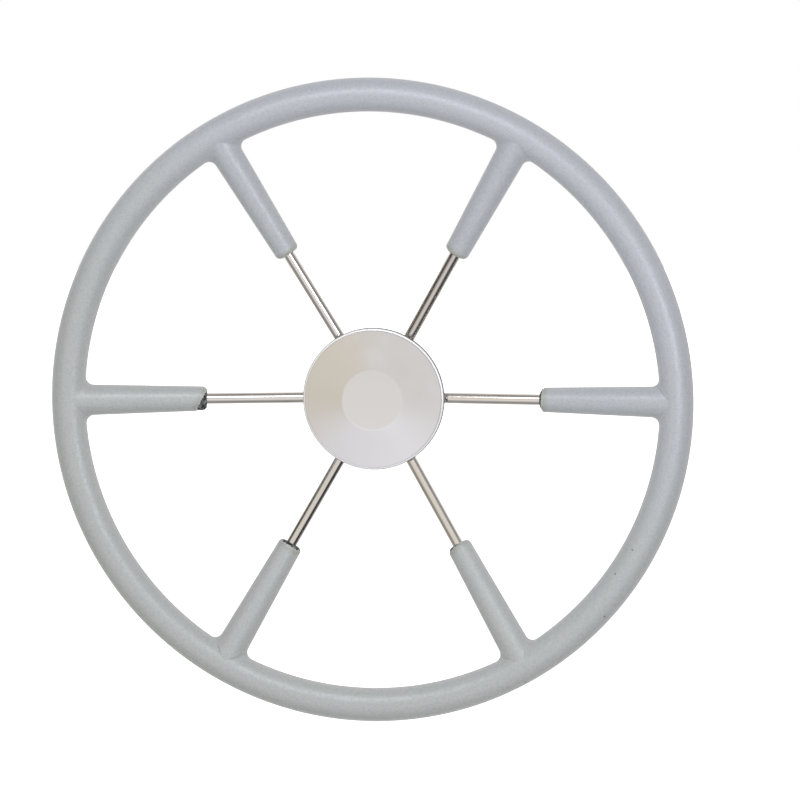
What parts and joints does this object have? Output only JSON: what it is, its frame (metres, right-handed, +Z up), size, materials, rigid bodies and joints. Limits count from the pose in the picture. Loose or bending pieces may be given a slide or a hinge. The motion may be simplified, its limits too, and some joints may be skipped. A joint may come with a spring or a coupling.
{
  "type": "boat steering wheel",
  "caption": "Dished boat steering wheel: round foam grip with tapered sleeves over steel rod spokes, and a round pressed cap over a keyed hub.",
  "frame": {"origin": "centre of the hub's rear face, at the mouth of the shaft bore", "axes": "+Y along the shaft, out of the back of the hub; -Y faces the helmsman; +Z up; +X to the helmsman's right"},
  "size_m": [0.55, 0.0719, 0.55],
  "materials": {
    "grip_foam": "grained matt foam skin, light grey, dark where torn",
    "spoke_steel": "polished stainless rod",
    "hub_steel": "turned stainless",
    "cap_steel": "polished pressed stainless",
    "ring_steel": "plain stainless bar, hidden in the foam",
    "seal_rubber": "black rubber"
  },
  "bodies": {
    "root": {"rim_grip": "grip_foam", "rim_ring": "ring_steel", "hub_boss": "hub_steel", "hub_cap": "cap_steel", "cap_collar": "hub_steel", "cap_seal_ring": "seal_rubber", "spoke_1": "spoke_steel", "spoke_2": "spoke_steel", "spoke_3": "spoke_steel", "spoke_4": "spoke_steel", "spoke_5": "spoke_steel", "spoke_6": "spoke_steel"}
  },
  "joints": []
}
